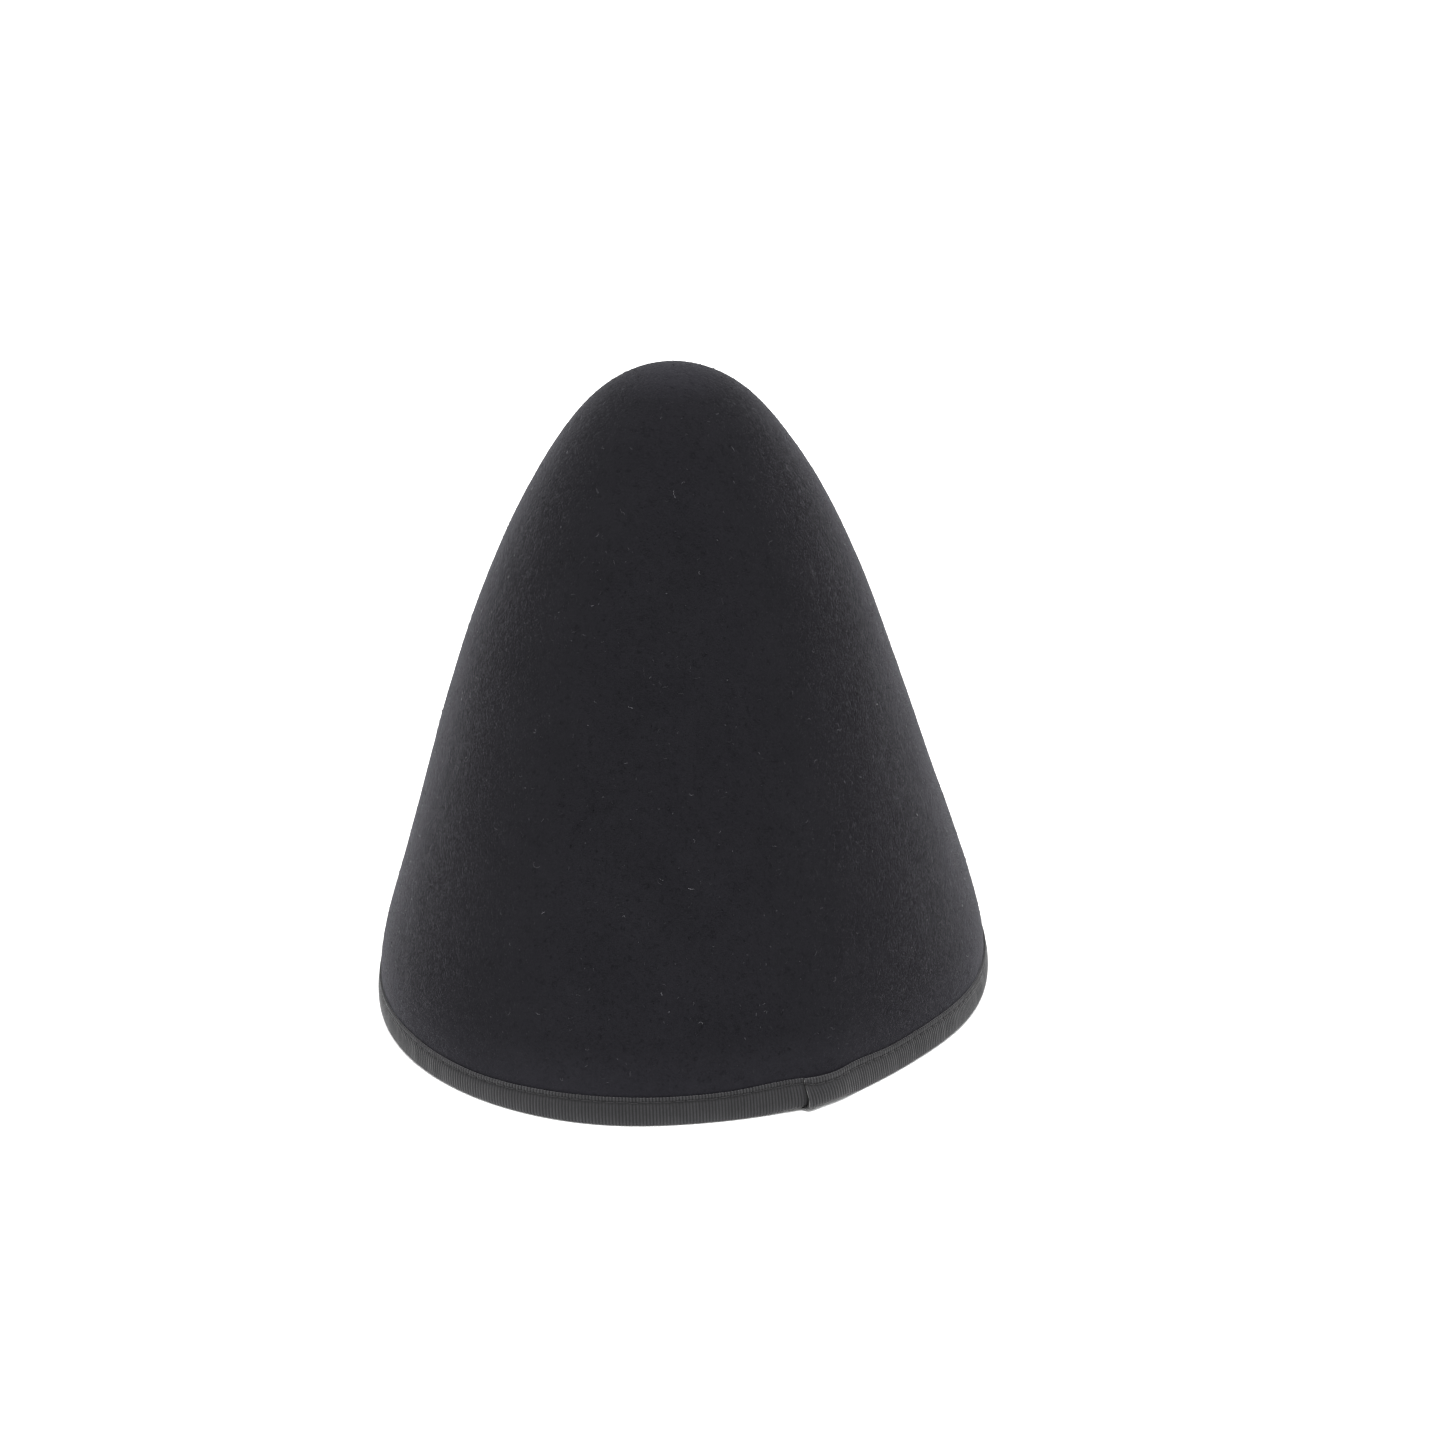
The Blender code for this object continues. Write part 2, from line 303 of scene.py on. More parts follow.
class Nodes:
    """Short calls for the nodes of one procedural material."""

    def __init__(self, name):
        self.material = bpy.data.materials.new(name)
        self.material.use_nodes = True
        self.tree = self.material.node_tree
        self.shader = self.tree.nodes["Principled BSDF"]
        self.place = self.tree.nodes.new("ShaderNodeTexCoord").outputs["Object"]

    def set(self, **values):
        """Set the shader's own sockets, named with underscores for spaces."""
        for name, value in values.items():
            self.shader.inputs[name.replace("_", " ")].default_value = value

    def noise(self, scale, detail=2.0, roughness=0.5, stretch=None, place=None):
        """Noise over the object, with its grains per unit, and a stretch along each axis."""
        place = place or self.place
        if stretch:
            mapping = self.tree.nodes.new("ShaderNodeMapping")
            mapping.inputs["Scale"].default_value = stretch
            self.tree.links.new(place, mapping.inputs["Vector"])
            place = mapping.outputs["Vector"]
        node = self.tree.nodes.new("ShaderNodeTexNoise")
        node.inputs["Scale"].default_value = scale
        node.inputs["Detail"].default_value = detail
        node.inputs["Roughness"].default_value = roughness
        self.tree.links.new(place, node.inputs["Vector"])
        return node.outputs["Fac"]

    def strands(self, scale, sharpness):
        """Tangled thin lines: one less the distance of a swirled noise from its mean, to a power."""
        node = self.tree.nodes.new("ShaderNodeTexNoise")
        node.inputs["Scale"].default_value = scale
        node.inputs["Detail"].default_value = 1.0
        node.inputs["Distortion"].default_value = 1.6
        self.tree.links.new(self.place, node.inputs["Vector"])
        away = self.math("ABSOLUTE", self.math("SUBTRACT", node.outputs["Fac"], 0.5))
        ridge = self.math("SUBTRACT", 1.0, self.math("MULTIPLY", away, 3.0))
        return self.math("POWER", self.math("MAXIMUM", ridge, 0.0), sharpness)

    def value(self, name):
        """A number stored at the mesh's points."""
        node = self.tree.nodes.new("ShaderNodeAttribute")
        node.attribute_name = name
        return node.outputs["Fac"]

    def cloth_map(self):
        """The piece's own map: millimetres along the ribbon and across it."""
        node = self.tree.nodes.new("ShaderNodeUVMap")
        node.uv_map = "cloth"
        return node.outputs["UV"]

    def height(self):
        """Height above the floor, in metres."""
        node = self.tree.nodes.new("ShaderNodeSeparateXYZ")
        self.tree.links.new(self.place, node.inputs["Vector"])
        return node.outputs["Z"]

    def math(self, operation, a, b=0.0):
        """One arithmetic step on sockets or numbers."""
        node = self.tree.nodes.new("ShaderNodeMath")
        node.operation = operation
        for number, socket in zip((a, b), node.inputs):
            if isinstance(number, (int, float)):
                socket.default_value = number
            else:
                self.tree.links.new(number, socket)
        return node.outputs[0]

    def ramp(self, factor, start, end, low=0.0, high=1.0):
        """A number that goes from low to high as the factor goes from start to end."""
        node = self.tree.nodes.new("ShaderNodeMapRange")
        node.inputs["From Min"].default_value = start
        node.inputs["From Max"].default_value = end
        node.inputs["To Min"].default_value = low
        node.inputs["To Max"].default_value = high
        self.tree.links.new(factor, node.inputs["Value"])
        return node.outputs["Result"]

    def blend(self, factor, low, high, start=0.0, end=1.0):
        """A colour that goes from low to high as the factor goes from start to end."""
        node = self.tree.nodes.new("ShaderNodeValToRGB")
        node.color_ramp.elements[0].position = start
        node.color_ramp.elements[0].color = (*low, 1)
        node.color_ramp.elements[1].position = end
        node.color_ramp.elements[1].color = (*high, 1)
        self.tree.links.new(factor, node.inputs["Fac"])
        return node.outputs["Color"]

    def shaded(self, color, factor):
        """The colour times a number."""
        node = self.tree.nodes.new("ShaderNodeVectorMath")
        node.operation = "SCALE"
        self.tree.links.new(color, node.inputs[0])
        self.tree.links.new(factor, node.inputs["Scale"])
        return node.outputs["Vector"]

    def bump(self, height, distance, strength=1.0):
        """Relief of the given depth in metres, on the shader's normal."""
        node = self.tree.nodes.new("ShaderNodeBump")
        node.inputs["Strength"].default_value = strength
        node.inputs["Distance"].default_value = distance
        self.tree.links.new(height, node.inputs["Height"])
        self.tree.links.new(node.outputs["Normal"], self.shader.inputs["Normal"])

    def lie(self, name):
        """Shade with directions stored at the mesh's points, instead of the mesh's own."""
        node = self.tree.nodes.new("ShaderNodeAttribute")
        node.attribute_name = name
        self.tree.links.new(node.outputs["Vector"], self.shader.inputs["Normal"])

    def color(self, socket):
        """Colour the shader from a socket."""
        self.tree.links.new(socket, self.shader.inputs["Base Color"])


def felt_material():
    """Black wool felt: tangled fibres, faint mottling, painted light paler towards the rim and at
    the tip, and a sheen.
    """
    felt = Nodes("felt")
    felt.set(Roughness=0.95, Specular_IOR_Level=0.07)
    felt.set(Sheen_Weight=0.102, Sheen_Roughness=0.30, Sheen_Tint=(0.82, 0.81, 0.90, 1))
    mottle = felt.noise(60, detail=4, roughness=0.6)
    grain = felt.noise(1500, detail=2, roughness=0.6)
    fibres = felt.math("MAXIMUM", felt.strands(420, 4), felt.strands(900, 5))
    relief = felt.math("ADD", felt.math("MULTIPLY", grain, 0.6), felt.math("MULTIPLY", fibres, 0.25))
    curls = felt.math("MULTIPLY", felt.strands(330, 5), felt.ramp(felt.noise(420), 0.56, 0.64))
    relief = felt.math("SUBTRACT", relief, felt.math("MULTIPLY", curls, 0.4))
    tone = felt.math("ADD", felt.math("MULTIPLY", mottle, 0.45), felt.math("MULTIPLY", relief, 0.65))
    color = felt.blend(tone, (0.0031, 0.0030, 0.0039), (0.0063, 0.0061, 0.0075), 0.25, 0.80)
    # painted light: paler towards the rim and most just above the ribbon, as if lit from the floor,
    # and paler at the tip, as if lit from above
    low = felt.ramp(felt.height(), 0.150, 0.030, 1.0, 1.22)
    lowest = felt.ramp(felt.height(), 0.024, 0.009, 0.0, 0.7)
    highest = felt.ramp(felt.height(), 0.191, 0.196, 0.0, 0.8)
    felt.color(felt.shaded(color, felt.math("ADD", felt.math("ADD", low, lowest), highest)))
    felt.bump(relief, 0.00028)
    return felt.material


def nap_material():
    """Loose fibres of the same felt, each with its own tone, lit as the felt that it lies on."""
    nap = Nodes("felt_nap")
    nap.set(Roughness=0.9, Sheen_Weight=0.16, Sheen_Roughness=0.30, Specular_IOR_Level=0.07)
    nap.color(nap.blend(nap.value("tone"), (0.003, 0.003, 0.004), (0.036, 0.035, 0.041)))
    nap.lie("lay")
    return nap.material


def lint_material():
    """Stray pale fibres, from grey to nearly white."""
    lint = Nodes("lint")
    lint.set(Roughness=0.7, Specular_IOR_Level=0.3)
    lint.color(lint.blend(lint.value("tone"), (0.010, 0.010, 0.012), (0.42, 0.41, 0.45)))
    return lint.material


def grosgrain_material():
    """Black grosgrain cords, painted shade between them, and painted floor light paler at the fold.
    """
    ribbon = Nodes("grosgrain")
    ribbon.set(Roughness=0.6, Sheen_Weight=0.22, Sheen_Roughness=0.4, Specular_IOR_Level=0.15)
    cloth = ribbon.cloth_map()
    threads = ribbon.noise(1.0, detail=2, roughness=0.6, stretch=(1.2, 5.5, 1), place=cloth)
    patches = ribbon.noise(160, detail=3, roughness=0.6)
    tone = ribbon.math("ADD", ribbon.math("MULTIPLY", threads, 0.6),
                       ribbon.math("MULTIPLY", patches, 0.4))
    color = ribbon.blend(tone, (0.0108, 0.0107, 0.0119), (0.0244, 0.0240, 0.0262), 0.3, 0.7)
    # the points' light values: painted light and shade on the cords, grooves, lap, stitches and
    # needle holes
    cords = ribbon.ramp(ribbon.value("light"), 0.0, 1.0, 0.10, 1.0)
    # painted light from the floor: the ribbon is paler towards its fold
    painted_floor_light = ribbon.ramp(ribbon.height(), 0.0040, 0.0006, 1.0, 1.5)
    ribbon.color(ribbon.shaded(color, ribbon.math("MULTIPLY", cords, painted_floor_light)))
    ribbon.bump(threads, 0.00008, 0.6)
    return ribbon.material


def thread_material():
    """Black polyester thread with a faint shine."""
    thread = Nodes("thread")
    thread.set(Roughness=0.55, Sheen_Weight=0.10, Specular_IOR_Level=0.20)
    twist = thread.noise(3500, detail=1, stretch=(1, 1, 2))
    thread.color(thread.blend(twist, (0.005, 0.0049, 0.0056), (0.013, 0.0126, 0.0144), 0.3, 0.7))
    thread.bump(twist, 0.00006, 0.5)
    return thread.material


FELT_COLUMNS = 400
OUTER_ROWS = 104
INNER_ROWS = 24
SEAT = 0.35                 # how far the felt is pressed in under the ribbon

# The felt's cut edge: inset from the outer side and height above the floor
EdgeRow = namedtuple("EdgeRow", "inset height")
FELT_EDGE = (
    EdgeRow(inset=SEAT, height=6.0),
    EdgeRow(inset=SEAT, height=3.0),
    EdgeRow(inset=0.40, height=1.8),
    EdgeRow(inset=0.80, height=1.1),
)
ROLL_RISES = (2.4, 1.6, 0.9, 0.3, -0.6)     # rings above the ribbon's edge, and one below it
ROLL_GAP = 0.8              # from the topmost of them to the evenly spaced rings


def felt_shell(material):
    """The felt body, from the tip down its outer side, round the cut edge and up inside.

    Each ring is the cone's surface at one height, moved along its normal by the ring's inset and
    by random lumps. Rows are evenly spaced along the side, and the lowest ones follow the
    ribbon's edge, under which the felt is pressed in.
    """
    turns = np.arange(FELT_COLUMNS) * 360 / FELT_COLUMNS
    edge = band_edge(turns)
    lift = LAP_LIFT * hump(turns, LAP_TURN, LAP_LIFT_SPREAD)

    def side(rows, inset):
        """Rings from below the tip to just above the ribbon, evenly spaced along the side."""
        lowest = edge.max() + ROLL_RISES[0] + ROLL_GAP
        heights = height_at(np.linspace(0, slant_at(lowest), rows + 1)[1:])[:, None] + 0 * turns
        flat = cone_surface(turns, heights)
        shift = felt_strays(flat, heights - edge) - inset
        return flat + shift[..., None] * cone_normals(turns, heights)

    def level_ring(heights, inset):
        """A ring at the given heights, moved in on the level."""
        return cone_surface(turns, heights) - inset * rim_directions(turns)

    def roll(base):
        """Rings where the felt swells out above the ribbon's edge."""
        pressed = [PINCH * (1 - smooth(rise / PINCH_ROLL)) for rise in ROLL_RISES]
        sign = 1 if base == 0 else -1
        return [level_ring(edge + rise, base + sign * press)
                for rise, press in zip(ROLL_RISES, pressed)]

    def cut_edge(inside):
        """Rings from under the ribbon to the bottom of the cut edge, lifted at the lap."""
        rings = []
        for row in FELT_EDGE:
            inset = FELT_WALL - row.inset if inside else row.inset
            ring = level_ring(np.full(len(turns), row.height), inset)
            ring[:, 2] += lift * (1 - row.height / BAND_HEIGHT)
            rings.append(ring)
        return rings

    outer = [*side(OUTER_ROWS, 0), *roll(0), *cut_edge(False)]
    inner = [*cut_edge(True)[::-1], *roll(FELT_WALL)[::-1], *side(INNER_ROWS, FELT_WALL)[::-1]]
    rings = np.array(outer + inner)
    tip = cone_surface(np.zeros(1), np.full(1, HAT_HEIGHT))
    points = np.concatenate([rings.reshape(-1, 3), tip, tip - (0, 0, FELT_WALL)])
    rows, columns = rings.shape[:2]
    here = np.arange(columns)
    after = (here + 1) % columns
    row = np.arange(rows - 1)[:, None] * columns
    quads = np.stack([row + here, row + columns + here, row + columns + after, row + after], axis=-1)
    top, bottom, last = rows * columns, rows * columns + 1, (rows - 1) * columns
    caps = np.concatenate([
        np.stack([np.full(columns, top), here, after], axis=-1),
        np.stack([np.full(columns, bottom), last + after, last + here], axis=-1)])
    shell = new_mesh("felt_shell", points, [quads.reshape(-1, 4), caps], material)
    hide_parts("felt_cone")
    return shell


def side_places(rng, count, low):
    """Random places spread evenly over the cone's outside, down to a height: turns and slants.

    The slant is drawn by the running sum of the radius, so that equal areas get equal counts.
    """
    area = np.concatenate([[0], np.cumsum(SIDE_RADII[1:] * np.diff(SIDE_SLANTS))])
    most = np.interp(slant_at(low), SIDE_SLANTS, area)
    slants = np.interp(rng.uniform(0, most, count), area, SIDE_SLANTS)
    return rng.uniform(0, 360, count), slants


HAIR_ARCH = (1.7, 2.9)      # radians of a sine that a hair rises and falls along, least and most
HAIR_ROOT = 0.04            # depth in the felt at which a hair starts
STRAIGHTEST = 0.01          # least curl, which keeps the arc's radius finite


def hair_paths(rng, turns, slants, lengths, rise, curl, count):
    """Hairs that lie on the felt: each leaves it, bends along it and comes back or stands off.

    A hair is an arc in the surface that turns by curl radians over its length: at share t it has
    gone sin(t curl) / curl ahead and (1 - cos(t curl)) / curl aside, times its length. It stands
    off by its rise times the sine of its arch times t, less the depth of its root.
    """
    heights = height_at(slants)
    normals = cone_normals(turns, heights)
    roots = cone_surface(turns, heights)
    roots = roots + felt_strays(roots, heights - band_edge(turns))[:, None] * normals
    around = unit(np.cross((0.0, 0.0, 1.0), normals))
    down = np.cross(around, normals)
    heading = rng.uniform(0, 2 * np.pi, len(turns))
    ahead = around * np.cos(heading)[:, None] + down * np.sin(heading)[:, None]
    aside = np.cross(normals, ahead)
    share = np.linspace(0, 1, count)[None, :, None]
    length = lengths[:, None, None]
    curl = np.where(np.abs(curl) < STRAIGHTEST, STRAIGHTEST, curl)[:, None, None]
    forward = length * np.sin(curl * share) / curl
    sideways = length * (1 - np.cos(curl * share)) / curl
    arch = np.sin(share * rng.uniform(*HAIR_ARCH, len(turns))[:, None, None])
    paths = roots[:, None] + forward * ahead[:, None] + sideways * aside[:, None]
    return paths + (rise[:, None, None] * arch - HAIR_ROOT) * normals[:, None], normals


# The nap's draws. A pair is the least and the most of an even draw, or the two numbers of a
# gamma or beta draw where its comment says so. Curls are in radians over a hair's length.
NAP_PIECES = 3
NAP_HAIRS = 29000           # in each piece
NAP_SEED = 40
NAP_CLEAR = 0.8             # felt without nap above the ribbon's highest edge
NAP_LENGTH = (0.3, 0.9)
NAP_RISE = (1.3, 0.11)      # gamma
NAP_CURL = (-2.4, 2.4)
NAP_THINNEST = 0.012
NAP_THICKNESS = (1.5, 0.008)    # gamma, added to the thinnest
NAP_TONE = (0.5, 4.5)       # beta
TUFT_SHARE = 0.05           # share of the hairs that are matted into thicker, longer tufts
TUFT_LONGER = 1.6
TUFT_THICKER = 4.5
TUFT_TONE = (0.8, 4.5)      # beta, added to a hair's own tone
LAY_STRAY = 0.20            # how far a hair's shading strays from the felt's, along each axis


def nap(index, material):
    """A third of the felt's short loose fibres and tufts, as three-sided spindles bent once."""
    rng = np.random.default_rng(NAP_SEED + index)
    turns, slants = side_places(rng, NAP_HAIRS, HIGHEST_EDGE + NAP_CLEAR)
    tuft = rng.random(NAP_HAIRS) < TUFT_SHARE
    lengths = rng.uniform(*NAP_LENGTH, NAP_HAIRS) * np.where(tuft, TUFT_LONGER, 1)
    rise = rng.gamma(*NAP_RISE, NAP_HAIRS)
    curl = rng.uniform(*NAP_CURL, NAP_HAIRS)
    paths, normals = hair_paths(rng, turns, slants, lengths, rise, curl, count=3)
    radii = NAP_THINNEST + rng.gamma(*NAP_THICKNESS, NAP_HAIRS)
    radii = (radii * np.where(tuft, TUFT_THICKER, 1))[:, None]
    points, faces = spindles(paths, radii, 3, normals)
    each = len(points) // NAP_HAIRS
    tone = rng.beta(*NAP_TONE, NAP_HAIRS) + tuft * rng.beta(*TUFT_TONE, NAP_HAIRS)
    tone = np.repeat(tone, each)
    lay = np.repeat(unit(normals + rng.normal(0, LAY_STRAY, normals.shape)), each, axis=0)
    values = {"tone": tone, "lay": lay}
    return new_mesh(f"nap_{index + 1}", points, faces, material, values)


# The lint's draws, given as the nap's are
LINT_COUNT = 2300
LINT_SEED = 77
LINT_CLEAR = 1.5            # felt without lint above the ribbon's highest edge
LINT_SHORTEST = 0.25
LINT_LENGTH = (1.6, 0.45)   # gamma, added to the shortest
LINT_RISE = (0.05, 0.35)
LINT_CURL = 2.4             # standard deviation
LINT_RADIUS = (0.012, 0.028)
LINT_TONE = (0.38, 4.2)     # beta
LINT_POINTS = 8


def lint(material):
    """Stray fibres on the felt, most of them short and faint, a few long, curled or bright."""
    rng = np.random.default_rng(LINT_SEED)
    turns, slants = side_places(rng, LINT_COUNT, HIGHEST_EDGE + LINT_CLEAR)
    lengths = rng.gamma(*LINT_LENGTH, LINT_COUNT) + LINT_SHORTEST
    rise = rng.uniform(*LINT_RISE, LINT_COUNT)
    curl = rng.normal(0, LINT_CURL, LINT_COUNT)
    paths, normals = hair_paths(rng, turns, slants, lengths, rise, curl, LINT_POINTS)
    radii = rng.uniform(*LINT_RADIUS, LINT_COUNT)[:, None] * np.ones(LINT_POINTS - 2)
    points, faces = spindles(paths, radii, 4, normals)
    tone = np.repeat(rng.beta(*LINT_TONE, LINT_COUNT), len(points) // LINT_COUNT)
    return new_mesh("lint", points, faces, material, {"tone": tone})


RIM_LENGTH = 590.0          # around the rim, outside
RIBBON_WALL = 0.42
RIBBON_WIDTH = 20.5         # both faces and the fold
RIBBON_SEED = 12
# painted shade: the face against the felt is kept darker than the outer one
BACK_LIGHT = 0.5            # how light the face against the felt is, beside the outer one

# The ribbon's cords
CORD_PITCH = 0.95           # distance from cord to cord
CORDS = round(RIM_LENGTH / CORD_PITCH)
STEPS_A_CORD = 5
CORD_RELIEF = 0.24
CORD_STRENGTHS = (0.75, 1.25)   # least and most of each cord's share of the relief
CORD_SLANT = 1.7            # how far the cords lean to larger turns past the lap, over their height
SLANT_START = 4.0           # degrees over which the lean sets in
SLANT_END = 60.0            # and over which it dies out
CORDS_SET_IN = 0.6          # degrees over which the cords set in on each side of the lap
PLAIN_SHARE = 0.2           # share of that stretch that stays plain at the cut end
PICOT = 0.12                # how far each cord's loop stands out of the ribbon's edge
PICOT_SHARE = 0.03          # share of the width over which the loops die out

# The ribbon's unevenness: waves around the hat, and the size of each
UNEVEN_WAVES = ((3, 0.10), (5, 0.08), (11, 0.06), (23, 0.04), (47, 0.02))
UNEVEN_HEIGHT = 0.5         # how much of it moves the ribbon up and down
UNEVEN_RELIEF = 0.6         # how much of it goes into the cords' relief

# The lap
CUT_SHADE = 0.30            # degrees over which the upper end is darker at its cut
UNDER_SHADE = 0.80          # degrees over which the lower end is darker where it comes out
UNDER_DROP = 0.5            # how much lower the edge of the hidden end lies
FLARE_END = 0.62            # share of the width, counted from the outer edge, past which no flare is
FLARE_FADE = 0.2            # share of the width over which the flare fades out there

# The seam
STITCH_DEPTH = 1.45         # stitches below the ribbon's edge
STITCH_DROP = 0.8           # how much deeper they lie just past the lap
STITCH_DROP_START = 2.0     # degrees over which they go down there
STITCH_DROP_END = 35.0      # and over which they come back
SEWN_IN = -0.14             # the ribbon's inset from the cone along the stitches
STITCH_LENGTH = 3.3
STITCHES = round(RIM_LENGTH / STITCH_LENGTH)
STITCH_POINTS = 9
STITCH_BOW = 0.12           # how far a stitch bows upwards between its holes
STITCH_STRAY = 0.10         # standard deviation of that bow
STITCH_RAISED = 0.36        # how far its middle stands out beyond its ends
STITCH_FLATNESS = 0.6       # power of the sine that it rises along
STITCH_SUNK = 0.16          # how far its ends are sunk in the ribbon
OUTSIDE_SEED = 2
INSIDE_SEED = 3
THREAD_RADIUS = 0.11
HOLE_SIZE = 0.32
HOLE_RELIEF = 0.22
HOLE_SHADE = 0.8            # how dark a needle hole is, 1 being black

# Painted light and shade across the ribbon: sizes of the changes, and the widths that they take
ROW_SHADE = 0.8             # along the stitches
ROW_SHADE_WIDTH = 0.5
ABOVE_ROW_LIGHT = 0.6       # from the stitches up
ABOVE_ROW_WIDTH = 0.8
LOOP_LIGHT = 0.8            # at the edge's loops
LOOP_LIGHT_WIDTH = 0.3

# Face of the folded ribbon from its upper edge to the middle of the fold. The inset is from the
# cone. The height is above the floor, or from the edge, or from the edge in stitch depths. The
# relief is a share of CORD_RELIEF, and aside is how far the lap's end strays to larger turns.
Row = namedtuple("Row", "inset height measured relief aside")
RIBBON_FACE = (
    Row(inset=-0.32, height=0.0, measured="edge", relief=1.0, aside=0.0),
    Row(inset=-0.48, height=-0.55, measured="edge", relief=1.5, aside=-0.05),
    Row(inset=SEWN_IN, height=-1.0, measured="stitch", relief=0.5, aside=-0.05),
    Row(inset=-0.55, height=-1.6, measured="stitch", relief=0.9, aside=0.1),
    Row(inset=-0.66, height=4.2, measured="floor", relief=1.0, aside=0.6),
    Row(inset=-0.38, height=1.6, measured="floor", relief=1.0, aside=0.55),
    Row(inset=0.20, height=0.4, measured="floor", relief=1.0, aside=0.0),
    Row(inset=1.1, height=0.0, measured="floor", relief=1.0, aside=-1.1),
)
OUTSIDE_SHARES = np.linspace(0, 0.5, 2 * len(RIBBON_FACE) - 1)
INSIDE_SHARES = np.linspace(0.5, 1, len(RIBBON_FACE))[1:]
BACK_SHARES = np.linspace(1, 0, 8)
ASIDE_SPREAD = 4.0          # degrees over which the lap's end straightens out


def stitch_depth(turns):
    """Distance from the ribbon's edge down to its row of stitches."""
    past = turn_from(turns, LAP_TURN)
    drop = smooth(past / STITCH_DROP_START) * np.exp(-np.clip(past, 0, 360) / STITCH_DROP_END)
    return STITCH_DEPTH + STITCH_DROP * drop


def ribbon_section(turns, share, edge):
    """Inset, height, relief and aside over the ribbon's width: 0 and 1 are its edges, 0.5 the fold.

    A natural spline through the rows of the table for one side, mirrored to the other side of
    the felt's wall. Arrays are width by length.
    """
    knots = np.linspace(0, 0.5, len(RIBBON_FACE))
    weights = spline_weights(np.concatenate([knots, 1 - knots[-2::-1]]), share)
    rows = RIBBON_FACE + RIBBON_FACE[-2::-1]
    near = np.arange(len(rows)) < len(RIBBON_FACE)
    insets = np.array([row.inset if side else FELT_WALL - row.inset
                       for row, side in zip(rows, near)])
    asides = np.array([row.aside if side else RIBBON_FACE[-1].aside
                       for row, side in zip(rows, near)])
    reliefs = np.array([row.relief for row in rows])
    starts = {"floor": 0 * turns, "edge": edge, "stitch": edge}
    scales = {"floor": 1 + 0 * turns, "edge": 1 + 0 * turns, "stitch": stitch_depth(turns)}
    heights = np.array([starts[row.measured] + row.height * scales[row.measured] for row in rows])
    flat = weights @ np.stack([insets, reliefs, asides], axis=-1)
    return flat[:, :1], weights @ heights, flat[:, 1:2], flat[:, 2:]


def needle_holes(turns, depth):
    """1 at each needle hole in the ribbon's row of stitches, 0 away from them.

    depth is the distance from the row of stitches across the ribbon.
    """
    along = (turn_from(turns, LAP_TURN) * STITCHES / 360 + 0.5) % 1 - 0.5
    away = np.hypot(along * STITCH_LENGTH, depth)
    return np.exp(-(away / HOLE_SIZE) ** 2)


def cord_light(from_row, below_edge):
    """Painted light and shade on the cords, by distance below the stitches and below the ribbon's
    edge.

    1, less a bell curve along the stitches, plus a smooth step above them, plus a decay from the
    loops at the edge.
    """
    light = 1 - ROW_SHADE * np.exp(-(from_row / ROW_SHADE_WIDTH) ** 2)
    light = light + ABOVE_ROW_LIGHT * smooth(-from_row / ABOVE_ROW_WIDTH)
    return light + LOOP_LIGHT * np.exp(-below_edge.clip(0) / LOOP_LIGHT_WIDTH)


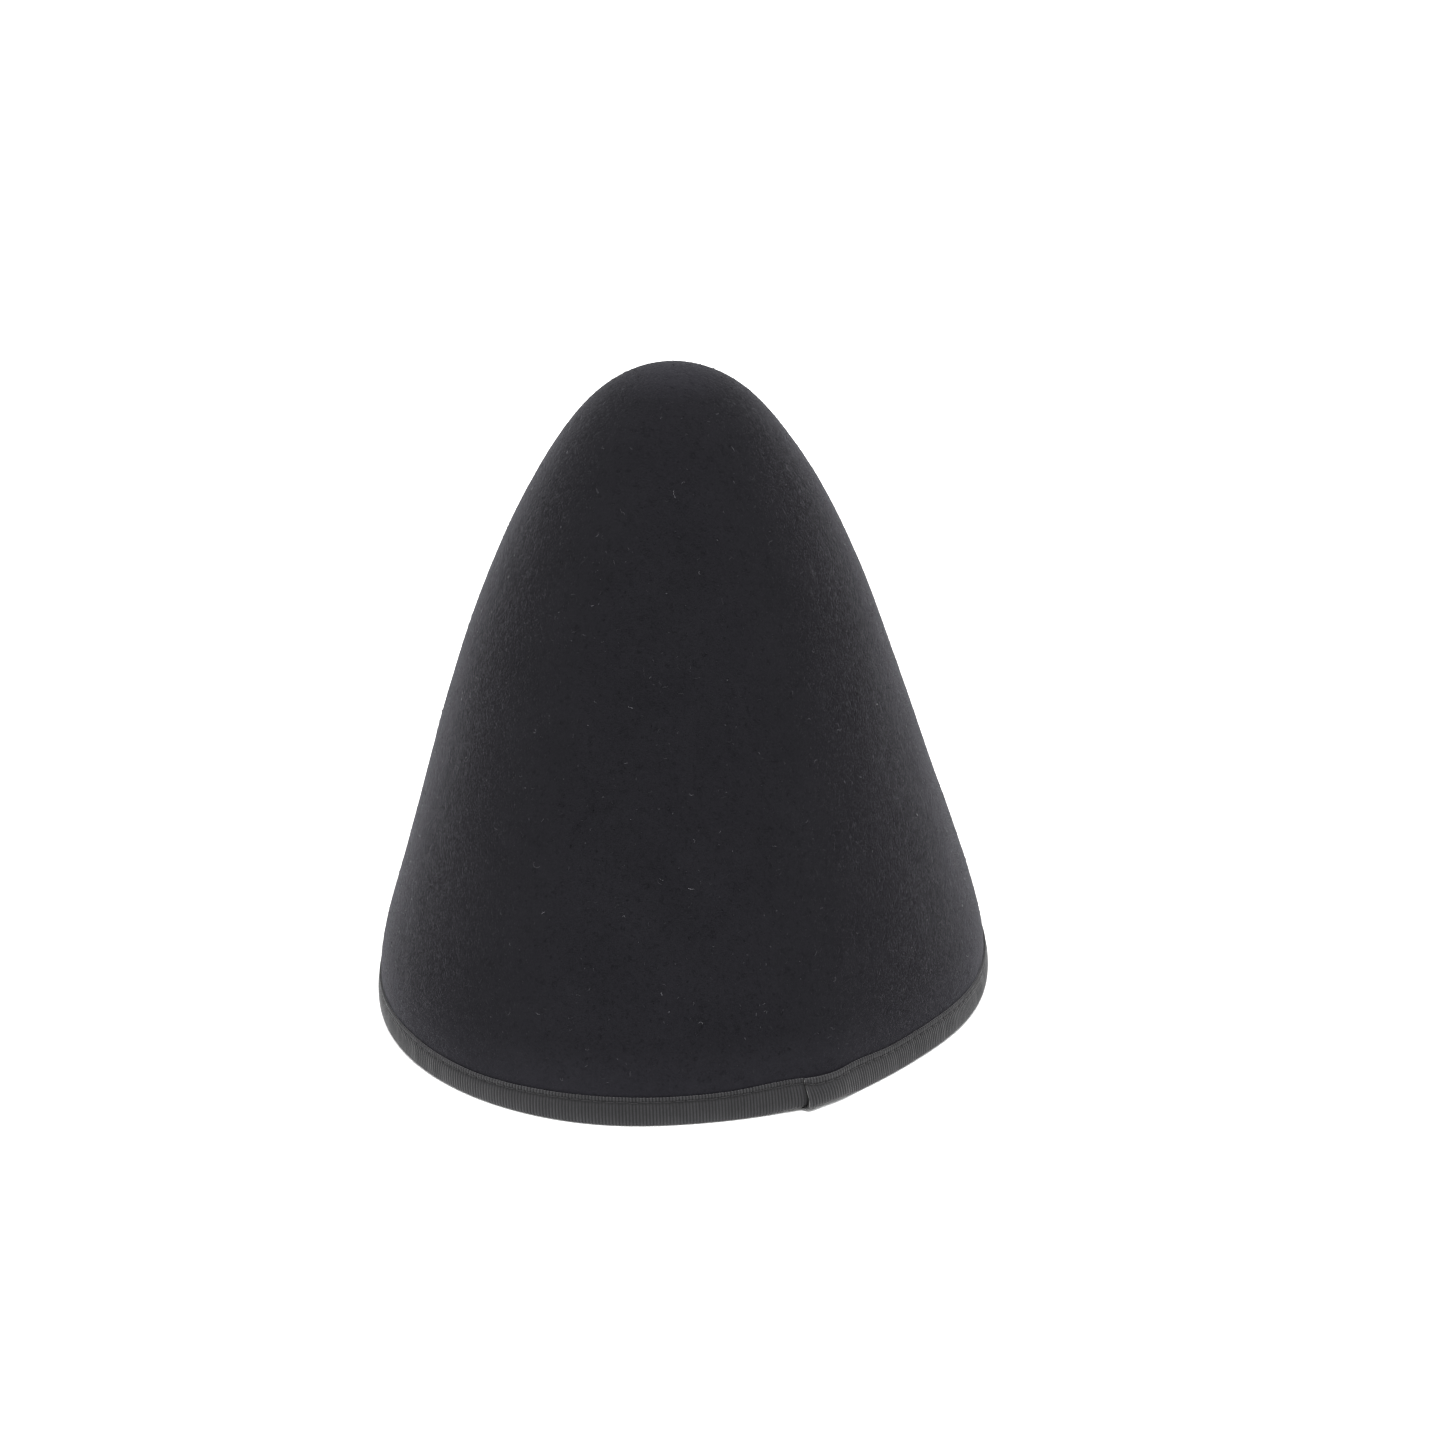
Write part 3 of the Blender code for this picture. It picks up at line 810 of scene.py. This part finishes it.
def rim_binding(material):
    """The folded ribbon, one strip that starts on top at the lap and ends under itself.

    Columns run along the strip and rows across its width, on the outer face and then on the face
    against the felt. A point is the cone's surface at the row's height, moved out by the row's
    inset and along the section's normal by the cords' relief, which is half of one less the cosine
    of the turn from groove to groove. The upper end's fold flares out at the lap.
    """
    columns = (CORDS + round(CORDS * LAP_LENGTH / 360)) * STEPS_A_CORD + 1
    passed = np.linspace(0, 360 + LAP_LENGTH, columns)
    turns = LAP_TURN + passed
    on_top = 1 - smooth((passed - LAP_LENGTH) / LAP_LENGTH)
    lift = LAP_LIFT * np.exp(-(np.minimum(passed - 360, 0) / LAP_LIFT_SPREAD) ** 2)
    edge = band_edge(turns) - np.where(passed > 360, UNDER_DROP, 0.0)
    rng = np.random.default_rng(RIBBON_SEED)
    uneven = sum(size * np.cos(np.radians(turns) * waves + rng.uniform(0, 6.28))
                 for waves, size in UNEVEN_WAVES)
    cord = (passed * CORDS / 360) % 1
    from_ends = np.minimum(passed, np.abs(passed - 360))
    corded = smooth(from_ends / CORDS_SET_IN - PLAIN_SHARE)
    strength = rng.uniform(*CORD_STRENGTHS, columns // STEPS_A_CORD + 1)
    strength = np.repeat(strength, STEPS_A_CORD)[:columns]
    ridge = 1 - (0.5 + 0.5 * np.cos(2 * np.pi * cord)) * corded
    shadow = smooth(passed / CUT_SHADE) * smooth(np.abs(passed - 360) / UNDER_SHADE)
    lean = CORD_SLANT * (1 - np.exp(-passed / SLANT_START)) * np.exp(-(passed / SLANT_END) ** 2)
    flare = LAP_FLARE * np.exp(-(passed / LAP_FLARE_SPREAD) ** 2)

    def face(share, out, relief_size):
        """Points and shading of one face of the ribbon, at its distance out from the section."""
        inset, height, relief, aside = ribbon_section(turns, share, edge)
        inset = inset + 0 * height
        falling, going_in = -np.gradient(height, share, axis=0), np.gradient(inset, share, axis=0)
        length = np.maximum(np.hypot(falling, going_in), 1e-9)
        out_level, out_up = falling / length, going_in / length
        below_edge = edge - height
        from_row = below_edge - stitch_depth(turns)
        hole = needle_holes(turns, from_row) * (passed < 360 - LAP_LENGTH)
        corded_face = relief_size > 0
        cords = relief * (ridge - 1) * (1 + UNEVEN_RELIEF * uneven) * strength
        swell = out + LAP_STEP * on_top + relief_size * cords - HOLE_RELIEF * hole * corded_face
        inset = inset - out_level * swell
        up_the_band = np.clip(height / BAND_HEIGHT, 0, 1)
        height = height + out_up * swell + uneven * UNEVEN_HEIGHT * up_the_band
        fade = np.clip(1 - height / BAND_HEIGHT, 0, 1)
        inset = inset - flare * fade ** 2 * smooth((FLARE_END - share) / FLARE_FADE)[:, None]
        height = height + (LAP_STEP * on_top + lift) * fade
        from_edges = np.minimum(share, 1 - share)[:, None]
        height = height + PICOT * (ridge - 0.5) * np.exp(-from_edges / PICOT_SHARE) * corded_face
        warp = aside * np.exp(-(turn_from(turns, LAP_TURN) / ASIDE_SPREAD) ** 2) + lean * fade
        real = turns + warp * 360 / RIM_LENGTH
        points = cone_surface(real, height) - rim_directions(real) * inset[..., None]
        points[..., 2] = np.maximum(points[..., 2], 0.0)
        # painted shade in the grooves, at the lap's cut ends, along the stitches, in the needle
        # holes and on the face against the felt; painted light above the stitches and on the edge's
        # loops
        light = np.clip(1 - (1 - ridge) * relief, 0, 1) * shadow * cord_light(from_row, below_edge)
        light = light * (1 - HOLE_SHADE * hole) * (1 if corded_face else BACK_LIGHT)
        return points, light, share[:, None] * RIBBON_WIDTH + 0 * height

    shares = np.concatenate([OUTSIDE_SHARES, INSIDE_SHARES])
    rows = len(shares) + len(BACK_SHARES)
    outer, back = face(shares, 0.0, CORD_RELIEF), face(BACK_SHARES, -RIBBON_WALL, 0.0)
    points, light, across = (np.concatenate(pair).reshape(rows, columns, -1)
                             for pair in zip(outer, back))
    along = passed * RIM_LENGTH / 360 + 0 * across[..., 0]
    here = np.arange(columns - 1)
    low = np.arange(rows)[:, None] * columns
    high = (np.arange(rows)[:, None] + 1) % rows * columns
    quads = np.stack([low + here, high + here, high + here + 1, low + here + 1], axis=-1)
    cloth = np.stack([along, across[..., 0]], axis=-1).reshape(-1, 2)
    binding = new_mesh("grosgrain_binding", points.reshape(-1, 3),
                       [quads.reshape(-1, 4), end_caps(shares, columns)],
                       material, {"light": light.ravel()}, cloth)
    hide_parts("rim_binding")
    return binding


def end_caps(shares, columns):
    """Triangles that close the ribbon's two ends, between its outer face and its back.

    Both sides are walked from the upper edge, and the side whose next point comes first gets the
    next triangle.
    """
    back = BACK_SHARES[::-1]
    past_all = 2
    triangles = []
    i = k = 0
    while i < len(shares) - 1 or k < len(back) - 1:
        face_next = shares[i + 1] if i < len(shares) - 1 else past_all
        back_next = back[k + 1] if k < len(back) - 1 else past_all
        back_row = len(shares) + len(back) - 1 - k
        if face_next <= back_next:
            triangles.append((i, i + 1, back_row))
            i += 1
        else:
            triangles.append((i, back_row - 1, back_row))
            k += 1
    triangles = np.array(triangles) * columns
    return np.concatenate([triangles, triangles[:, ::-1] + columns - 1])


def stitches(name, inside, material):
    """A row of machine stitches: threads that lie on the ribbon between the needle holes.

    Each thread runs along the rim from hole to hole, raised by a power of the sine of its share
    of the way, so that both of its ends dive into the ribbon.
    """
    rng = np.random.default_rng(INSIDE_SEED if inside else OUTSIDE_SEED)
    share = np.linspace(0, 1, STITCH_POINTS)
    bulge = np.sin(np.pi * share)
    turns = LAP_TURN + (np.arange(STITCHES)[:, None] + share) * 360 / STITCHES
    heights = band_edge(turns) - stitch_depth(turns) + STITCH_BOW * bulge
    heights = heights + rng.normal(0, STITCH_STRAY, (STITCHES, 1)) * bulge
    raised = STITCH_RAISED * bulge ** STITCH_FLATNESS - STITCH_SUNK
    past = turn_from(turns, LAP_TURN)
    on_top = (1 - smooth((past - LAP_LENGTH) / LAP_LENGTH)) * (past >= 0)
    inset = SEWN_IN - raised - LAP_STEP * on_top
    if inside:
        inset = FELT_WALL - inset
    paths = cone_surface(turns, heights) - rim_directions(turns) * inset[..., None]
    radii = np.full((STITCHES, STITCH_POINTS - 2), THREAD_RADIUS)
    points, faces = spindles(paths, radii, 8, rim_directions(turns[:, STITCH_POINTS // 2]))
    return new_mesh(name, points, faces, material)


# The studio, with places and sizes in metres
FLOOR_SIZE = 12
SURROUND = 1.3              # strength of the white surround
LAMP_PLACE = (0.2, -0.3, 1.8)
LAMP_AIM = (0, 0, 0.1)
LAMP_WIDTH = 1.8
LAMP_POWER = 84             # watts

# The camera: the side and height that it looks from, in degrees, its places in metres, and its
# lens in millimetres
CAMERA_TURN = 36.5
CAMERA_RISE = 24.0
CAMERA_DISTANCE = 1.297
CAMERA_LENS = 109.35
CAMERA_SENSOR = 36.0
TARGET_RIGHT = 0.0105
TARGET_HEIGHT = 0.0853


def studio():
    """A pale floor, an even white surround, a soft light from above, and the camera."""
    bpy.ops.mesh.primitive_plane_add(size=FLOOR_SIZE, location=(0, 0, 0))
    floor = bpy.context.object
    floor.name = "floor"
    paint = Nodes("floor_paint")
    paint.set(Base_Color=(0.90, 0.90, 0.90, 1), Roughness=0.9)
    floor.data.materials.append(paint.material)

    world = bpy.data.worlds.new("surround")
    world.use_nodes = True
    background = world.node_tree.nodes["Background"]
    background.inputs["Color"].default_value = (1, 1, 1, 1)
    background.inputs["Strength"].default_value = SURROUND
    bpy.context.scene.world = world

    light = bpy.data.lights.new("overhead", "AREA")
    light.shape = "DISK"
    light.size = LAMP_WIDTH
    light.energy = LAMP_POWER
    lamp = bpy.data.objects.new("overhead", light)
    lamp.location = LAMP_PLACE
    lamp.rotation_euler = (Vector(LAMP_AIM) - lamp.location).to_track_quat("-Z", "Y").to_euler()
    bpy.context.scene.collection.objects.link(lamp)

    turn, rise = np.radians(CAMERA_TURN), np.radians(CAMERA_RISE)
    right = Vector((np.cos(turn), np.sin(turn), 0))
    back = Vector((np.sin(turn) * np.cos(rise), -np.cos(turn) * np.cos(rise), np.sin(rise)))
    lens = bpy.data.cameras.new("camera")
    lens.lens = CAMERA_LENS
    lens.sensor_width = CAMERA_SENSOR
    camera = bpy.data.objects.new("camera", lens)
    camera.location = right * TARGET_RIGHT + Vector((0, 0, TARGET_HEIGHT)) + back * CAMERA_DISTANCE
    camera.rotation_euler = (-back).to_track_quat("-Z", "Y").to_euler()
    bpy.context.scene.collection.objects.link(camera)
    bpy.context.scene.camera = camera
    bpy.context.scene.view_settings.view_transform = "Standard"


def build():
    """Make every piece of the hat and the studio around it."""
    studio()
    felt_shell(felt_material())
    fibre = nap_material()
    for index in range(NAP_PIECES):
        nap(index, fibre)
    lint(lint_material())
    binding = rim_binding(grosgrain_material())
    thread = thread_material()
    stitches("stitches_outside", False, thread)
    stitches("stitches_inside", True, thread)


build()
